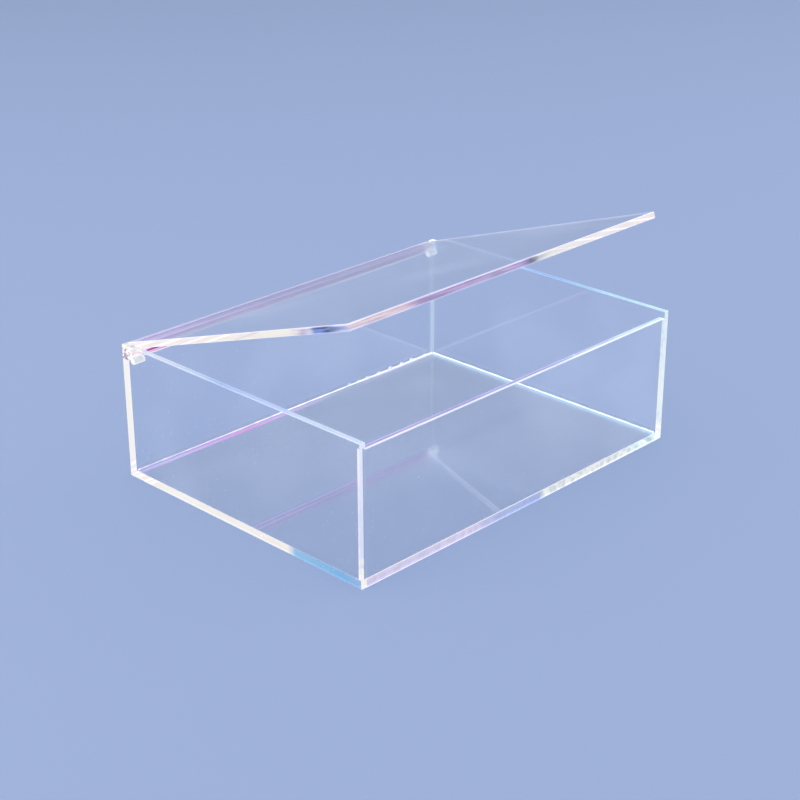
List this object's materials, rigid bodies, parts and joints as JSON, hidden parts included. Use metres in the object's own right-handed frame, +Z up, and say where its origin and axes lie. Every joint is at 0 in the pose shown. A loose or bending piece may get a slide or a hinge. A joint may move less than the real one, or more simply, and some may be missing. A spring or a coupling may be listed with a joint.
{
  "type": "acrylic storage box with lid",
  "caption": "Clear acrylic rectangular storage box whose flat lid is hinged along the rear on a full-length rod.",
  "frame": {"origin": "middle of the box's underside, on the surface that it stands on", "axes": "+X along the hinge, to the right for someone who faces the front; +Y from the front to the hinge; +Z up"},
  "size_m": [0.217, 0.1635, 0.1203],
  "materials": {
    "clear_sheet": "clear colourless acrylic sheet, polished faces and polished edges",
    "clear_rod": "clear colourless acrylic rod, polished"
  },
  "bodies": {
    "box": {"base_panel": "clear_sheet", "front_wall": "clear_sheet", "rear_wall": "clear_sheet", "left_wall": "clear_sheet", "right_wall": "clear_sheet", "left_hinge_pin": "clear_rod", "right_hinge_pin": "clear_rod", "left_support_peg": "clear_rod", "right_support_peg": "clear_rod"},
    "lid": {"lid_panel": "clear_sheet", "hinge_rod": "clear_rod"}
  },
  "joints": [
    {"name": "lid_hinge", "type": "hinge", "parent": "box", "child": "lid", "pos_m": [0, 0.0785, 0.0647], "axis": [-1, 0, 0], "range_deg": [-18.5, 78]}
  ]
}
